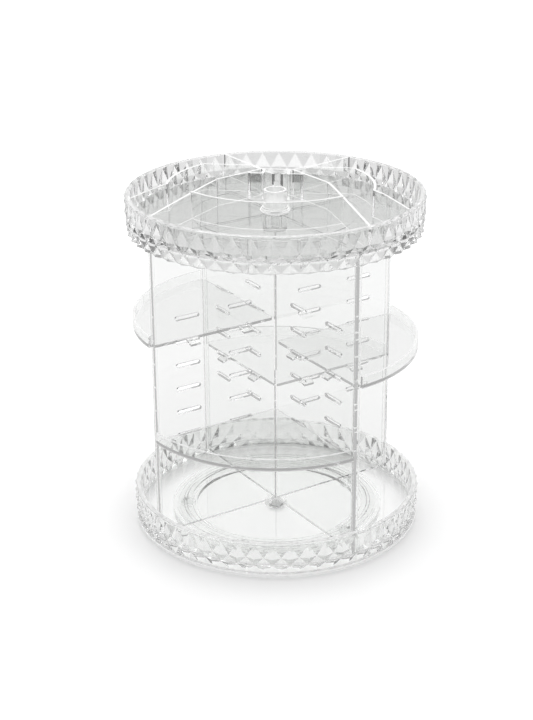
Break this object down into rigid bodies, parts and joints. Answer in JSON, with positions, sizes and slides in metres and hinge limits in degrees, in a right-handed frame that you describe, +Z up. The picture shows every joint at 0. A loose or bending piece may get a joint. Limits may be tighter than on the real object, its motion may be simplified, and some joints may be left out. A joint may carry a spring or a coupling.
{
  "type": "rotating makeup organizer",
  "caption": "Clear rotating makeup organizer: crossed slotted panels carry lift-out quarter-round shelves between a faceted turntable base tray and a faceted, divided top tray.",
  "frame": {"origin": "on the turning axis, at the table under the foot pads", "axes": "+Z up along the turning axis; the crossed panels stand along X and Y; the lowest shelf, which faces the picture's camera, is in the quadrant of -X and -Y"},
  "size_m": [0.2296, 0.2296, 0.2766],
  "materials": {
    "clear_acrylic": "clear, polished",
    "steel": "polished",
    "clear_silicone": "clear, soft gloss"
  },
  "bodies": {
    "stand": {"base_plate": "clear_acrylic", "foot_pads": "clear_silicone"},
    "ball_race": {"ball_cage": "clear_acrylic", "bearing_balls": "steel"},
    "turntable": {"base_tray": "clear_acrylic", "spindle_pin": "steel", "spindle_washer": "steel", "panel_long": "clear_acrylic", "panel_cross": "clear_acrylic", "hub_nut": "clear_acrylic"},
    "shelf_front": {"shelf_front": "clear_acrylic"},
    "shelf_back": {"shelf_back": "clear_acrylic"},
    "shelf_right": {"shelf_right": "clear_acrylic"},
    "shelf_left": {"shelf_left": "clear_acrylic"},
    "top": {"top_tray": "clear_acrylic", "fan_divider": "clear_acrylic", "centre_cup": "clear_acrylic", "side_divider_right": "clear_acrylic", "side_divider_left": "clear_acrylic"},
    "knob": {"lock_knob": "clear_acrylic"}
  },
  "joints": [
    {"name": "turntable_spin", "type": "hinge", "parent": "stand", "child": "turntable", "pos_m": [0, 0, 0], "axis": [0, 0, 1], "continuous": true},
    {"name": "ball_race_spin", "type": "hinge", "parent": "stand", "child": "ball_race", "pos_m": [0, 0, 0], "axis": [0, 0, 1], "continuous": true},
    {"name": "shelf_front_pull_out", "type": "slide", "parent": "turntable", "child": "shelf_front", "axis": [-0.683, -0.683, 0.2589], "range_m": [0, 0.12]},
    {"name": "shelf_back_pull_out", "type": "slide", "parent": "turntable", "child": "shelf_back", "axis": [0.683, 0.683, 0.2589], "range_m": [0, 0.12]},
    {"name": "shelf_right_pull_out", "type": "slide", "parent": "turntable", "child": "shelf_right", "axis": [0.683, -0.683, 0.2589], "range_m": [0, 0.12]},
    {"name": "shelf_left_pull_out", "type": "slide", "parent": "turntable", "child": "shelf_left", "axis": [-0.683, 0.683, 0.2589], "range_m": [0, 0.12]},
    {"name": "top_lift_off", "type": "slide", "parent": "turntable", "child": "top", "axis": [0, 0, 1], "range_m": [0, 0.08]},
    {"name": "knob_turn", "type": "hinge", "parent": "top", "child": "knob", "pos_m": [0, 0, 0.25], "axis": [0, 0, 1], "range_deg": [0, 720]}
  ],
  "couplings": [
    {"joint": "ball_race_spin", "follows": "turntable_spin", "ratio": 0.5}
  ]
}
